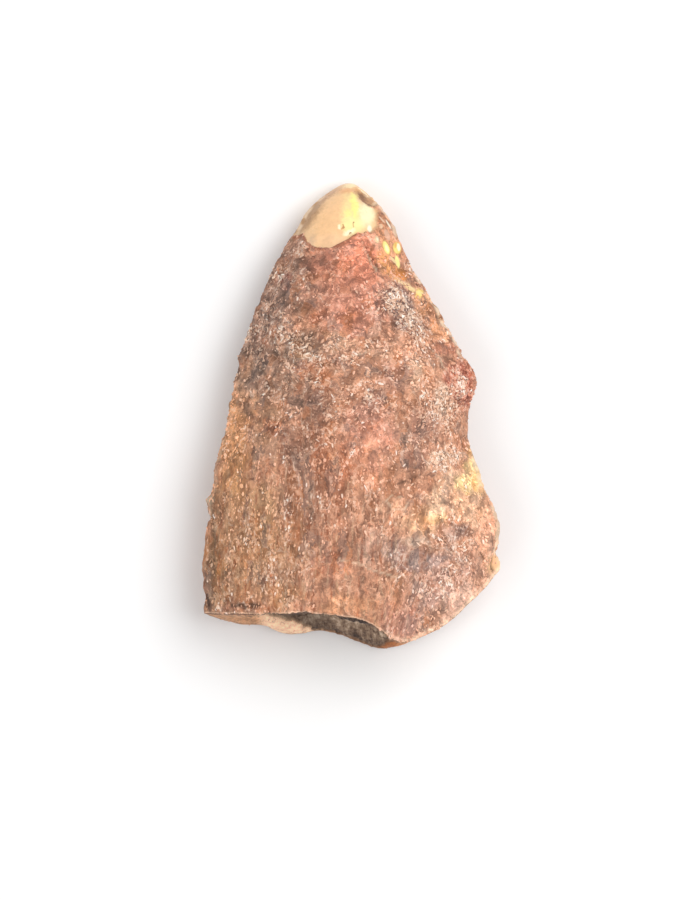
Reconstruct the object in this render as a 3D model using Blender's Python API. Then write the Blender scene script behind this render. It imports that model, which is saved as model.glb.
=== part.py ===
"""The broken crown of a theropod's tooth, turned to stone: one solid, lying on its flatter side.

The tooth lies along Y with its tip towards +Y. Its rounder, outer side faces up (+Z) and its
flatter, inner side rests on the plane z = 0. The origin is in the middle of the tooth's box, on
that plane. Run with: blender --background --python part.py
"""

import math

import bmesh
import bpy
from mathutils import Vector, noise

MM = 0.001

# Driving dimensions, in millimetres. A place on the tooth is given as x, measured from the line
# that the tooth lies along, and its depth, which is how far it is below the tip.
LEFT_LENGTH = 23.2  # tip to the lower end of the left keel
RIGHT_LENGTH = 20.8  # tip to the lower end of the right keel, which is broken off higher up
OUTER_BULGE = 4.4  # how far the upper face stands above the keels at the broken end
INNER_BULGE = 3.5  # how far the under face stands below them there
TIP_LIFT = 0.9  # the tip's height over the ground
BREAK_LIFT = 0.5  # how far the under face rises again at the broken end
WORN_FLAT = 0.2  # how much is worn off the under face, which leaves the flat that it rests on

# Each keel's smooth run: (depth, x).
LEFT_KEEL = (
    (0.0, -0.16), (0.4, -1.12), (1.1, -1.92), (2.0, -2.6), (3.7, -3.6), (5.4, -4.48),
    (7.1, -5.25), (8.8, -5.95), (12.3, -6.7), (15.7, -7.37), (18.3, -7.9), (23.2, -8.0),
)
RIGHT_KEEL = (
    (0.0, -0.16), (0.4, 0.6), (1.1, 1.4), (2.0, 2.02), (3.7, 2.68), (5.4, 3.66), (7.1, 4.7),
    (8.8, 5.62), (9.9, 6.35), (10.8, 6.62), (12.0, 6.28), (13.6, 6.28), (15.5, 6.82),
    (17.2, 7.5), (18.4, 7.8), (20.8, 8.0),
)

# Chips in a keel and knobs on it: (depth, half-length, how far it stands out).
LEFT_CHIPS = (
    (9.4, 0.5, 0.16), (10.6, 0.5, 0.1), (11.9, 0.4, 0.1), (14.0, 0.45, 0.1), (17.1, 0.45, 0.3),
    (18.1, 0.5, -0.16), (22.3, 0.5, -0.12),
)
RIGHT_CHIPS = (
    (2.5, 0.4, 0.1), (4.6, 0.45, -0.15), (7.6, 0.3, -0.12), (9.25, 0.35, -0.2), (19.9, 0.5, -0.2),
)
CHIP_SPREAD = 16  # the higher, the nearer to the keel a chip stays

# The broken end, as how far it reaches past the line between the keels' ends: (x, reach).
UPPER_BREAK = (
    (-8.0, 0.0), (-6.8, 0.13), (-4.8, 0.48), (-2.7, 0.71), (-0.4, 1.31), (0.3, 1.5), (1.3, 2.16),
    (2.2, 2.98), (2.6, 3.21), (3.5, 3.05), (4.7, 2.62), (5.8, 1.92), (7.0, 0.99), (8.0, 0.0),
)
UNDER_BREAK = (
    (-8.0, 0.0), (-6.8, 0.55), (-5.1, 1.05), (-4.5, 1.2), (-3.8, 1.75), (-2.6, 1.87), (-2.0, 1.78),
    (-0.7, 2.3), (0.5, 2.9), (1.2, 3.3), (2.0, 3.4), (2.8, 3.2), (4.7, 2.5), (8.0, 0.0),
)
BREAK_FADE = 4  # the higher, the nearer to the break the rows bend to follow it

KEEL_RIDGE = 0.35  # how far a keel stands out of the side of the tooth, as a narrow ridge
RIDGE_SPREAD = 60
DENTICLE_PITCH = 0.64  # from one saw tooth on a keel to the next
DENTICLE_HEIGHT = 0.12
DENTICLES_FROM = 3.0  # nearer the tip than this they are worn away
ROWS_PER_DENTICLE = 2
TIP_DEPTH = 1.2  # above this depth the rows draw together to round the tip
TIP_ROWS = 7
POINTS_PER_SIDE = 30  # across one face, keel to keel
POINT_BUNCHING = 0.2

CAVITY_DEPTH = 1.2  # the pulp cavity in the broken end, nearly filled with stone
CAVITY_ROWS = 12
WALL_SHARE = 0.86  # outside this share of the way out from the middle is the wall of the crown
CAVITY_GRAIN = ((1.0, 0.4), (0.4, 0.2))  # size and height of the lumps in it

# The tip has lost its outer skin. The edge of what is left runs across it: (x, depth).
SPALL_EDGE = ((-3.4, 2.6), (-2.1, 3.0), (-1.7, 3.5), (-0.6, 3.5), (0.4, 2.75), (1.3, 2.9), (1.6, 1.0))
SPALL_STEP = 0.14

# Ridges and furrows on the upper face: (path of x and depth, half-width, height).
RIDGES = (
    (((1.1, 3.0), (1.8, 4.3), (2.4, 6.3), (3.2, 8.5), (3.3, 12.8)), 0.9, 0.26),
    (((2.4, 4.6), (3.2, 6.3), (4.3, 8.6)), 0.9, -0.2),
    (((0.2, 0.5), (0.65, 0.85), (1.1, 1.25)), 0.42, -0.22),
    (((-0.9, 20.3), (1.2, 20.5), (2.6, 21.1)), 0.5, 0.1),
    (((0.0, 9.7), (1.1, 9.1)), 0.35, 0.08),
    (((-3.2, 12.6), (-2.6, 15.6), (-2.7, 18.4)), 0.6, -0.12),
    (((-6.7, 13.6), (-6.9, 17.5), (-6.5, 21.5)), 0.7, 0.12),
    (((4.6, 15.2), (5.8, 17.0), (6.4, 19.6)), 0.8, 0.14),
)
# Knobs and pits on the upper face: (x, depth, size, height).
BUMPS = (
    (1.88, 3.44, 0.4, 0.14), (2.47, 3.6, 0.4, 0.16), (2.53, 4.35, 0.42, 0.14),
    (-7.4, 17.1, 0.5, 0.15), (-7.3, 18.1, 0.5, -0.2), (-7.2, 22.2, 0.5, -0.15),
    (2.6, 18.1, 0.5, -0.16), (2.6, 16.4, 0.5, -0.12),
    (-2.6, 11.3, 0.9, -0.14), (1.6, 11.7, 0.7, -0.14), (-4.9, 8.4, 1.0, -0.16),
    (3.0, 17.4, 0.6, 0.12), (-1.2, 8.9, 0.8, 0.12), (4.6, 11.6, 0.9, -0.12),
    (-0.6, 17.2, 0.8, 0.1), (-5.4, 19.4, 0.7, -0.12), (2.8, 22.4, 0.7, -0.1),
)
LUMPS = ((2.6, 0.16), (1.2, 0.12))  # unevenness all over: size and height of each kind
FIBRES = ((0.9, 5.0, 0.1), (0.6, 2.5, 0.05))  # furrows along the tooth: width, length and height

ENAMEL_COLOUR = (0.46, 0.24, 0.16, 1.0)
ENAMEL_ROUGHNESS = 0.6
SHARP_ANGLE = math.radians(50.0)


def clear_scene():
    for obj in list(bpy.data.objects):
        bpy.data.objects.remove(obj)


def smoothstep(low, high, value):
    share = min(1.0, max(0.0, (value - low) / (high - low)))
    return share * share * (3.0 - 2.0 * share)


def mix(a, b, share):
    return a + (b - a) * share


def through(points):
    """A smooth function through the points, which are in order of their first number."""
    xs, ys = zip(*points)
    last = len(xs) - 1
    slopes = []
    for i in range(len(xs)):
        before, after = max(i - 1, 0), min(i + 1, last)
        slopes.append((ys[after] - ys[before]) / (xs[after] - xs[before]))

    def value(x):
        x = min(xs[last], max(xs[0], x))
        i = max(k for k in range(last) if xs[k] <= x)
        step = xs[i + 1] - xs[i]
        t = (x - xs[i]) / step
        start = (1.0 + 2.0 * t) * (1.0 - t) ** 2 * ys[i] + t * (1.0 - t) ** 2 * step * slopes[i]
        return start + t * t * (3.0 - 2.0 * t) * ys[i + 1] + t * t * (t - 1.0) * step * slopes[i + 1]

    return value


def keel(points):
    """x of a keel at a depth. Working in the square root of the depth makes the tip round."""
    curve = through([(math.sqrt(depth), x) for depth, x in points])
    return lambda depth: curve(math.sqrt(depth))


left_keel = keel(LEFT_KEEL)
right_keel = keel(RIGHT_KEEL)
upper_break = through(UPPER_BREAK)
under_break = through(UNDER_BREAK)
spall_edge = through(SPALL_EDGE)


def chips(features, depth):
    """How far a keel stands out of its smooth run because of its chips and knobs."""
    total = 0.0
    for centre, half_length, out in features:
        off = abs(depth - centre) / half_length
        if off < 1.0:
            total += out * (0.5 + 0.5 * math.cos(math.pi * off))
    return total


def denticle(row, depth, length):
    """The saw edge: one row out and the next one in, worn down near the tip and at the break."""
    height = DENTICLE_HEIGHT * (0.5 if row % ROWS_PER_DENTICLE else -0.5)
    wear = 0.65 + 0.35 * math.sin(1.7 * depth) * math.sin(0.6 * depth + 1.0)
    top = smoothstep(DENTICLES_FROM, DENTICLES_FROM + 1.5, depth)
    return height * wear * top * smoothstep(length, length - 2.0, depth)


def row_shares():
    """Each row's share of the way from the tip to the break, from the break up to the tip."""
    step = DENTICLE_PITCH / ROWS_PER_DENTICLE / LEFT_LENGTH
    count = int((LEFT_LENGTH - TIP_DEPTH) / LEFT_LENGTH / step)
    shares = [1.0 - step * row for row in range(count + 1)]
    return shares + [shares[-1] * (1.0 - k / TIP_ROWS) ** 2 for k in range(1, TIP_ROWS)]


def fullness(share):
    """How much of its full bulge a face has, from 0 at the tip to 1 at the break."""
    return (1.0 - (1.0 - share) ** 1.8) ** 0.55


def crown_point(row, share, angle):
    """A point of the crown's skin. The angle is half a turn at the left keel and none at the
    right one. Between them it is positive on the upper face and negative on the under face."""
    rightness = 0.5 + 0.5 * math.cos(angle)
    left, right = share * LEFT_LENGTH, share * RIGHT_LENGTH
    bulge = fullness(share)
    on_left, on_right = (1.0 - rightness) ** RIDGE_SPREAD, rightness**RIDGE_SPREAD

    x = mix(left_keel(left), right_keel(right), rightness)
    x -= KEEL_RIDGE * bulge * math.cos(angle) * (1.0 - on_left - on_right)
    reach = (upper_break if angle >= 0.0 else under_break)(x)
    depth = mix(left, right, rightness) + reach * share**BREAK_FADE
    x -= chips(LEFT_CHIPS, left) * (1.0 - rightness) ** CHIP_SPREAD
    x += chips(RIGHT_CHIPS, right) * rightness**CHIP_SPREAD
    x -= denticle(row, left, LEFT_LENGTH) * on_left
    x += denticle(row, right, RIGHT_LENGTH) * on_right

    z = INNER_BULGE * bulge + TIP_LIFT * (1.0 - share) ** 2.5
    if angle >= 0.0:
        z += OUTER_BULGE * bulge * math.sin(angle) ** 1.45
    else:
        z -= INNER_BULGE * bulge * math.sin(-angle) ** 1.05
        z += BREAK_LIFT * smoothstep(0.88, 1.0, share) * math.sin(-angle)
    return Vector((x, -depth, z))


def ring_angles():
    """Once round the crown from the left keel, over the upper face, and back underneath. The
    angles bunch on the middle of each face, which spaces the points evenly along the skin."""
    shares = [1.0 - k / POINTS_PER_SIDE for k in range(2 * POINTS_PER_SIDE)]
    return [math.pi * share + POINT_BUNCHING * math.sin(2.0 * math.pi * share) for share in shares]


def fill_between(bm, line, other):
    """Faces between two lines of points, one of which may be a single point."""
    for k in range(max(len(line), len(other)) - 1):
        corners = [*line[k : k + 2], *reversed(other[k : k + 2])]
        if len(line) == 1:
            corners = [line[0], other[k + 1], other[k]]
        if len(other) == 1:
            corners = [line[k], line[k + 1], other[0]]
        bm.faces.new(corners)


def skin(bm):
    """The crown's skin, row by row from the break to the tip. It returns the row at the break."""
    rows = [
        [bm.verts.new(crown_point(row, share, angle)) for angle in ring_angles()]
        for row, share in enumerate(row_shares())
    ]
    tip = bm.verts.new((LEFT_KEEL[0][1], 0.0, TIP_LIFT))
    for below, above in zip(rows, rows[1:]):
        fill_between(bm, below + below[:1], above + above[:1])
    fill_between(bm, rows[-1] + rows[-1][:1], [tip])
    return rows[0]


def broken_end(bm, rim):
    """The broken end: the wall's rough edge, and the shallow hollow that it runs round. Each of
    its columns runs from a point on the edge of the upper face down to the point under it."""
    columns = [[rim[0]]]
    for k in range(1, POINTS_PER_SIDE):
        angle = ring_angles()[k]
        column = [rim[k]]
        for share in [row / CAVITY_ROWS for row in range(1, CAVITY_ROWS)]:
            outness = math.hypot(math.cos(angle), math.sin(angle) * (1.0 - 2.0 * share))
            place = rim[k].co.lerp(rim[-k].co, share)
            grain = sum(height * noise.noise(place / size) for size, height in CAVITY_GRAIN)
            place.y += CAVITY_DEPTH * smoothstep(WALL_SHARE, 0.55, outness)
            place.y += grain * (1.0 - outness**8)
            column.append(bm.verts.new(place))
        columns.append(column + [rim[-k]])
    columns.append([rim[POINTS_PER_SIDE]])
    for column, after in zip(columns, columns[1:]):
        fill_between(bm, column, after)


def off_path(x, depth, path):
    """The distance from a place on the tooth to a path across it."""
    place = Vector((x, depth))
    best = math.inf
    for start, end in zip(path, path[1:]):
        start = Vector(start)
        along = Vector(end) - start
        share = min(1.0, max(0.0, (place - start).dot(along) / along.length_squared))
        best = min(best, (place - start - along * share).length)
    return best


def relief(x, depth):
    """How far the upper face stands out of its smooth shape at a place."""
    out = sum(
        height * (1.0 - smoothstep(0.0, half_width, off_path(x, depth, path)))
        for path, half_width, height in RIDGES
    )
    out += sum(
        height * (1.0 - smoothstep(0.2 * size, size, math.hypot(x - bump_x, depth - bump_depth)))
        for bump_x, bump_depth, size, height in BUMPS
    )
    if x < SPALL_EDGE[-1][0]:
        out -= SPALL_STEP * smoothstep(0.15, -0.15, depth - spall_edge(x))
    return out


def roughness(place):
    """How far any face stands out at a place because of its lumps and its fibres."""
    out = sum(height * noise.noise(place / size) for size, height in LUMPS)
    for width, length, height in FIBRES:
        out += height * noise.noise(Vector((place.x / width, place.y / length, place.z / width)))
    return out


def weather(bm):
    """Pushes the skin in and out, across the tooth, which leaves the broken end as it is. The
    very tip moves least."""
    bm.normal_update()
    moves = []
    for vert in bm.verts:
        move = roughness(vert.co)
        if vert.normal.z > 0.0:
            move += relief(vert.co.x, -vert.co.y) * smoothstep(0.1, 0.5, vert.normal.z)
        across = Vector((vert.normal.x, 0.0, vert.normal.z))
        moves.append(across * move * smoothstep(-0.4, 0.8, -vert.co.y))
    for vert, move in zip(bm.verts, moves):
        vert.co += move


def set_down(bm):
    """Wears the flat that the tooth rests on, and brings the middle of its box over the origin."""
    for vert in bm.verts:
        vert.co.z = max(0.0, vert.co.z - WORN_FLAT)
    for axis in (0, 1):
        values = [vert.co[axis] for vert in bm.verts]
        middle = (min(values) + max(values)) / 2.0
        for vert in bm.verts:
            vert.co[axis] -= middle


def enamel():
    material = bpy.data.materials.new("fossil_enamel")
    material.use_nodes = True
    shader = material.node_tree.nodes["Principled BSDF"]
    shader.inputs["Base Color"].default_value = ENAMEL_COLOUR
    shader.inputs["Roughness"].default_value = ENAMEL_ROUGHNESS
    shader.inputs["Metallic"].default_value = 0.0
    return material


def make_tooth():
    bm = bmesh.new()
    broken_end(bm, skin(bm))
    weather(bm)
    set_down(bm)
    bmesh.ops.scale(bm, vec=(MM, MM, MM), verts=bm.verts)
    bmesh.ops.recalc_face_normals(bm, faces=bm.faces)
    mesh = bpy.data.meshes.new("tooth")
    bm.to_mesh(mesh)
    bm.free()
    mesh.materials.append(enamel())
    mesh.shade_smooth()
    mesh.set_sharp_from_angle(angle=SHARP_ANGLE)
    tooth = bpy.data.objects.new("tooth", mesh)
    bpy.context.scene.collection.objects.link(tooth)


clear_scene()
make_tooth()
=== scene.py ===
# %% [markdown]
# # A fossil tooth in stone colours
#
# This lesson dresses one object: the broken crown of a meat-eating dinosaur's tooth. Its solid model gives the
# outline, the keels, the ridges and the broken end. Here it gets what the eye reads as a fossil: a crust of sugary
# grains, a bare glossy tip, a gritty filling in the broken end, and stains that change from patch to patch.
#
# All of it is worked in millimetres, because a tooth's details are tenths of one, and goes to metres at the end.

# %% Load the solid model and measure it
import math

import bmesh
import bpy
import numpy as np
from mathutils import Matrix, Vector, noise
from mathutils.bvhtree import BVHTree


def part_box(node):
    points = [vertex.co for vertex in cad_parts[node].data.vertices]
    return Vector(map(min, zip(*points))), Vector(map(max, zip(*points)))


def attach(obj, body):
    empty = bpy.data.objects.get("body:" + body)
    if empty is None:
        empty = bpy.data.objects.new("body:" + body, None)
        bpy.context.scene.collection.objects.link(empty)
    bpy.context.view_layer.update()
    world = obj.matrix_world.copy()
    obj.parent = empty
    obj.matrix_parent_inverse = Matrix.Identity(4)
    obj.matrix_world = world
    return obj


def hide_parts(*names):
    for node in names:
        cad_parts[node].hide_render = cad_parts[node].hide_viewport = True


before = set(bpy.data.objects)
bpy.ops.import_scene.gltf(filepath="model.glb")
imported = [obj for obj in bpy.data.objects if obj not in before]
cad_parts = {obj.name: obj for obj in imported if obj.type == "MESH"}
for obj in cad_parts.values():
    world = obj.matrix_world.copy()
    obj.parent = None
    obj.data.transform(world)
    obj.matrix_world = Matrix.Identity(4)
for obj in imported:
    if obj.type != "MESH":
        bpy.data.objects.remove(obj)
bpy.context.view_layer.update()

MM = 0.001
LOW, HIGH = (np.array(corner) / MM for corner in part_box("tooth"))
TIP = HIGH[1]  # places on the tooth are given as x and the depth below the tip
print("tooth, mm:", (HIGH - LOW).round(2))

# %% [markdown]
# ## Step 1: a skin that is fine enough to carve
#
# The solid's faces are half a millimetre wide, far too coarse for grains of a tenth. A sculptor would subdivide the
# mesh again and again. Here a copy of the solid is rounded by a Subdivision Surface, with creases that keep the edge
# of the broken end, and then remeshed in even cells. Even cells matter: relief that is pushed into long thin faces
# shows the pattern of the faces instead of its own.

# %% Copy the solid, crease its sharp edges and remesh it
CELL = 0.106  # the width of a face of the finished skin
SAME_PLACE = 0.0005  # points nearer to each other than this become one
FLAT, SQUARE = math.radians(35), math.radians(60)  # how far two triangles may bend and skew, to be joined
SHARP = math.radians(50)  # an edge that bends further gets a crease
CREASE = 0.6


def copy_of_solid():
    """The solid in millimetres, with its loose triangles merged and its sharp edges creased."""
    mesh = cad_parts["tooth"].data.copy()
    mesh.materials.clear()
    bm = bmesh.new()
    bm.from_mesh(mesh)
    bmesh.ops.scale(bm, vec=(1 / MM,) * 3, verts=bm.verts)
    bmesh.ops.remove_doubles(bm, verts=bm.verts, dist=SAME_PLACE)
    bmesh.ops.join_triangles(bm, faces=bm.faces, angle_face_threshold=FLAT, angle_shape_threshold=SQUARE)
    crease = bm.edges.layers.float.new("crease_edge")
    for edge in bm.edges:
        if edge.calc_face_angle(0.0) > SHARP:
            edge[crease] = CREASE
    bm.to_mesh(mesh)
    bm.free()
    return mesh


def finished(mesh, *modifiers):
    """The mesh after these modifiers, each given as its type and its settings."""
    holder = bpy.data.objects.new("holder", mesh)
    bpy.context.scene.collection.objects.link(holder)
    for kind, settings in modifiers:
        modifier = holder.modifiers.new(kind.lower(), kind)
        for name, value in settings.items():
            setattr(modifier, name, value)
    shown = holder.evaluated_get(bpy.context.evaluated_depsgraph_get())
    made = bpy.data.meshes.new_from_object(shown)
    bpy.data.objects.remove(holder)
    return made


solid = copy_of_solid()
skin = finished(
    solid,
    ("SUBSURF", {"levels": 2, "render_levels": 2}),
    ("REMESH", {"mode": "VOXEL", "voxel_size": CELL}),
    ("SMOOTH", {"factor": 0.5, "iterations": 2}),
)
print("skin:", len(skin.vertices), "points,", sum(len(f.vertices) - 2 for f in skin.polygons), "triangles")

# %% [markdown]
# ## Step 2: know where each point is
#
# Every detail of a fossil belongs somewhere: polish on the tip, cracks near the break, grit inside it. So each point
# of the skin is measured: how deep it lies in the bare patch of the tip, how far it is from the break, and whether
# it looks up or down. What the materials need later is kept as an attribute.


# %% Helpers that measure points
def read(mesh, name):
    """The places or the normals of a mesh's points."""
    values = np.empty(len(mesh.vertices) * 3, dtype=np.float32)
    source, field = (mesh.vertices, "co") if name == "places" else (mesh.vertex_normals, "vector")
    source.foreach_get(field, values)
    return values.reshape(-1, 3).astype(float)


def rise(low, high, values):
    """0 up to low, 1 from high, and a smooth step between them."""
    share = np.clip((values - low) / (high - low), 0.0, 1.0)
    return share * share * (3 - 2 * share)


def distance_to_path(points, path):
    """How far each point is from a line through the path's points."""
    best = np.full(len(points), np.inf)
    for start, end in zip(np.array(path[:-1], float), np.array(path[1:], float)):
        along = end - start
        share = np.clip((points - start) @ along / (along @ along), 0.0, 1.0)
        best = np.minimum(best, np.linalg.norm(points - start - share[:, None] * along, axis=1))
    return best


def depth_inside(points, outline):
    """How deep each point is inside a closed outline; outside it, the distance as a negative number."""
    x, y = points[:, 0], points[:, 1]
    inside = np.zeros(len(points), bool)
    for (x1, y1), (x2, y2) in zip(outline, outline[1:] + outline[:1]):
        if y1 != y2:
            inside ^= ((y1 > y) != (y2 > y)) & (x < (x2 - x1) * (y - y1) / (y2 - y1) + x1)
    return np.where(inside, 1, -1) * distance_to_path(points, outline + outline[:1])


def sample(field, points):
    """What a function gives at each of these points."""
    return np.array([field(point) for point in map(Vector, points.tolist())])


# %% Measure the skin
BARE_EDGE = [  # the outline of the bare tip on the upper face: across, below the tip
    (-3.6, 3.0), (-2.85, 2.95), (-2.53, 2.8), (-2.3, 3.25), (-2.1, 3.49), (-1.67, 3.58), (-1.08, 3.6), (-0.59, 3.36),
    (-0.05, 3.04), (0.38, 2.77), (0.59, 2.85), (0.81, 2.69), (1.1, 2.75), (1.38, 2.47), (1.42, 1.61), (1.26, 1.27),
    (1.6, 1.1), (3.0, 0.8), (3.0, -1.5), (-5.0, -1.5),
]  # fmt: skip
UNDER_BARE_EDGE = [(-5.0, 2.1), (-1.4, 2.5), (-0.2, 1.9), (0.8, 2.2), (5.0, 1.2), (5.0, -2.0), (-5.0, -2.0)]
BREAK_SLOPE = -0.42  # a face of the broken end looks down the tooth at least this much
BREAK_REACH = 6.0  # and lies within this distance of the lower end


def tree_of(wanted):
    """A search tree of the wanted faces of the solid."""
    corners = [vertex.co for vertex in solid.vertices]
    return BVHTree.FromPolygons(corners, [tuple(face.vertices) for face in solid.polygons if wanted(face)])


def is_broken(face):
    return face.normal.y < BREAK_SLOPE and face.center.y < LOW[1] + BREAK_REACH


def distance_to(tree, points):
    return sample(lambda point: tree.find_nearest(point)[3], points)


place = read(skin, "places")
facing = read(skin, "normals")
spot = np.column_stack((place[:, 0], TIP - place[:, 1]))  # across, below the tip
up = rise(-0.25, 0.25, facing[:, 2])  # 1 on the upper face, 0 on the under one
crust_tree = tree_of(lambda face: not is_broken(face))
to_break = distance_to(tree_of(is_broken), place)
to_crust = distance_to(crust_tree, place)
under_upper_edge = sample(lambda point: crust_tree.find_nearest(point)[1].z > 0, place)
past_break = np.where(to_crust > to_break, to_crust, -to_break)  # negative on the crust
bare = up * depth_inside(spot, BARE_EDGE) + (1 - up) * depth_inside(spot, UNDER_BARE_EDGE)
print("inside the broken end:", int((past_break > 0).sum()), "points; on the bare tip:", int((bare > 0).sum()))

# %% [markdown]
# ## Step 3: carve the relief
#
# The crust is a layer of fine mineral grains that grew over the enamel. Up close it is lumpy, with pits where grains
# dropped out, and low down the enamel's long fibres show through. One noise can't do that. Here each kind of relief
# has its own field with its own size in millimetres, and the sum is pushed along the normals, so that it is real
# geometry that catches the light from any side. The bare tip only gets a ledge round it and a few hollows.

# %% The relief fields
GRAIN = 0.27  # from one grain to the next
VEIN, VEIN_WIDTH = 0.75, 0.13
FIBRES = Vector((5.5, 0.75, 3.0))  # they repeat much more often across the tooth than along it
PIT, WITHOUT_PIT = 0.8, 0.1  # from one pit to the next, and the share of places that have none


def grain(point):
    """A lump for each grain. Some stand proud and some have dropped out."""
    distances, centres = noise.voronoi(point / GRAIN)
    return max(0.0, 1 - (distances[0] / 0.8) ** 2) * (0.45 + 0.55 * noise.cell(centres[0]))


def vein(point):
    """A thin crest that winds about, where two noises meet."""
    wander = noise.fractal(point / VEIN, 1.0, 2.0, 2)
    return max(0.0, 1 - abs(wander) / VEIN_WIDTH) * max(0.0, min(1.0, 0.5 + 2.2 * noise.noise(point * 0.7)))


def fibre(point):
    """Long thin ridges down the tooth."""
    return 1 - 2 * abs(noise.noise(point * FIBRES))


def pit(point):
    """A round hole here and there, each of its own size."""
    distances, centres = noise.voronoi(point / PIT)
    size = 0.16 + 0.12 * noise.cell(centres[0] * 3.7)
    return max(0.0, 1 - (distances[0] / size) ** 2) if noise.cell(centres[0]) > WITHOUT_PIT else 0.0


def cloud(scale, octaves, away=(0, 0, 0)):
    """A soft noise at every point of the skin. Clouds that are read away from each other differ."""
    return sample(lambda point: noise.fractal(point * scale + Vector(away), 1.0, 2.0, octaves), place)


grains = sample(grain, place)
veins = sample(vein, place)
fibres = sample(fibre, place)
pits = sample(pit, place)
lumps = cloud(0.9, 3)
grit = sample(lambda point: noise.turbulence(point * 3.4, 3, True), place)
print("grains up to", grains.max().round(2), "and pits at", int((pits > 0.1).sum()), "points")

# %% [markdown]
# ## Step 4: the marks that have a place of their own
#
# Some marks are where they are: cracks by the broken end, scratches, the hollows in the tip and the beads beside it.
# Each is a short path or an oval in a table, with its place across and below the tip. A path is raised or sunk, and
# its share is kept as an attribute, because a crack is also dark and a scratch is also pale. The raised ridge under
# the tip is painted pale too, as a highlight. In some stretches a pale highlight is painted along the outline. Its
# thin line is found from the outermost points of each row of the skin.

# %% The tables of marks
CRACKS = [  # path, half width, depth
    ([(7.45, 20.2), (7.55, 20.7), (7.62, 21.1)], 0.07, 0.09),
    ([(-6.3, 22.75), (-5.6, 22.8), (-4.9, 22.75)], 0.2, 0.03),
    ([(-7.75, 22.3), (-7.65, 22.8)], 0.13, 0.1),
    ([(-7.72, 17.9), (-7.62, 18.15)], 0.13, 0.12),
    ([(2.3, 16.4), (2.9, 16.15), (3.6, 15.8)], 0.06, 0.04),
    ([(2.4, 18.1), (2.7, 18.0)], 0.06, 0.03),
    ([(3.45, 5.4), (3.7, 5.65)], 0.06, 0.06),
    ([(4.5, 7.2), (4.75, 7.35)], 0.07, 0.06),
    ([(5.15, 8.2), (5.35, 8.4)], 0.07, 0.06),
    ([(6.85, 19.9), (7.3, 20.5)], 0.05, 0.04),
]
SCARS = [  # path, half width, height
    # the first scar is the ridge under the tip: raised, and its pale colour is a painted highlight
    ([(0.55, 3.3), (0.75, 3.75), (1.1, 4.4), (1.3, 4.9)], 0.07, 0.07),
    ([(-0.35, 9.65), (0.4, 9.35), (1.15, 9.1)], 0.06, 0.03),
    ([(-0.6, 20.3), (0.6, 20.6), (1.6, 21.0), (2.7, 21.3)], 0.07, 0.04),
    ([(2.35, 5.25), (3.1, 5.6), (3.95, 6.3)], 0.07, 0.04),
    ([(1.85, 17.15), (2.2, 17.6), (2.8, 17.65), (3.0, 17.3)], 0.07, 0.04),
    ([(1.9, 17.1), (2.2, 16.9), (2.75, 17.0)], 0.06, 0.02),
    ([(4.2, 9.0), (4.9, 9.9), (5.5, 10.6)], 0.05, 0.02),
]
HOLLOWS = [  # across, below the tip, half width, half height, turn in degrees, depth
    (0.78, 0.83, 0.76, 0.25, 35, 0.12),
    (-0.46, 2.45, 0.06, 0.2, 23, 0.025),
    (0.13, 2.15, 0.06, 0.08, 0, 0.03),
    (0.13, 2.37, 0.05, 0.14, -10, 0.03),
    (-0.05, 2.8, 0.07, 0.06, 0, 0.03),
    (1.0, 4.0, 0.2, 0.75, -24, 0.07),
]
BEADS = [  # across, below the tip, half width, half height, turn, height
    (1.9, 3.55, 0.17, 0.4, -20, 0.13),
    (2.48, 3.55, 0.22, 0.33, -8, 0.12),
    (2.5, 4.3, 0.13, 0.34, -12, 0.13),
    (2.3, 4.25, 0.1, 0.25, -40, 0.08),
    (1.4, 3.12, 0.14, 0.22, -15, 0.08),
    (1.62, 3.7, 0.1, 0.13, 0, 0.05),
    (1.62, 2.38, 0.14, 0.17, 0, 0.06),
    (1.95, 2.85, 0.16, 0.34, -20, 0.04),
    (1.66, 2.0, 0.09, 0.3, -42, 0.08),
    (0.97, 2.45, 0.12, 0.3, -15, 0.03),
    (1.25, 2.2, 0.13, 0.24, -12, 0.05),
    (3.7, 5.98, 0.18, 0.24, -30, 0.06),
]
# stretches of the outline that get a painted highlight
RIM_HIGHLIGHTS = [  # which side, from and to this far below the tip, strength
    (1, 0.5, 3.0, 0.8),
    (1, 4.8, 9.4, 1.0),
    (1, 14.6, 20.4, 0.7),
    (-1, 0.6, 3.0, 0.8),
    (-1, 12.0, 18.0, 0.3),
]
ROW = 0.15  # the height of a row
print(len(CRACKS), "cracks,", len(SCARS), "scars,", len(HOLLOWS), "hollows and", len(BEADS), "beads")


# %% Cracks and scars on the skin
def along(paths):
    """How strongly each point is marked by the paths, and how far they move it."""
    mark, height = np.zeros(len(spot)), np.zeros(len(spot))
    for path, half_width, amount in paths:
        share = up * (1 - rise(0.3, 1.0, distance_to_path(wandering, path) / half_width))
        mark, height = np.maximum(mark, share), np.maximum(height, share * amount)
    return mark, height


wander = np.column_stack(
    [sample(lambda point: noise.noise(point * 2.2 + Vector((away, 0, 0))), place) for away in (7, 14)]
)
wandering = spot + 0.12 * wander
cracked, crack_depth = along(CRACKS)
scarred, scar_height = along(SCARS)
print("cracks and scars mark", int((cracked + scarred > 0.3).sum()), "points")


# %% Hollows, beads and the painted highlight along the rim on the skin
def oval(spots, middle_across, middle_depth, half_width, half_height, turn):
    """The square of the distance from the middle of an oval, which is 1 on its rim."""
    angle = math.radians(turn)
    across, down = (spots - (middle_across, middle_depth)).T
    along_it = across * math.cos(angle) + down * math.sin(angle)
    beside_it = down * math.cos(angle) - across * math.sin(angle)
    return (along_it / half_width) ** 2 + (beside_it / half_height) ** 2


def reach(spots, *shape):
    """The distance from the middle of an oval, which is 1 on its rim."""
    return np.sqrt(oval(spots, *shape))


def swollen(ovals):
    """The highest of these ovals at each point. Each has a steep rim and a flat top."""
    height = np.zeros(len(spot))
    for *shape, amount in ovals:
        share = np.clip(1.6 * (1 - oval(spot, *shape)), 0, 1)
        height = np.maximum(height, up * amount * np.sqrt(share))
    return height


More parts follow.
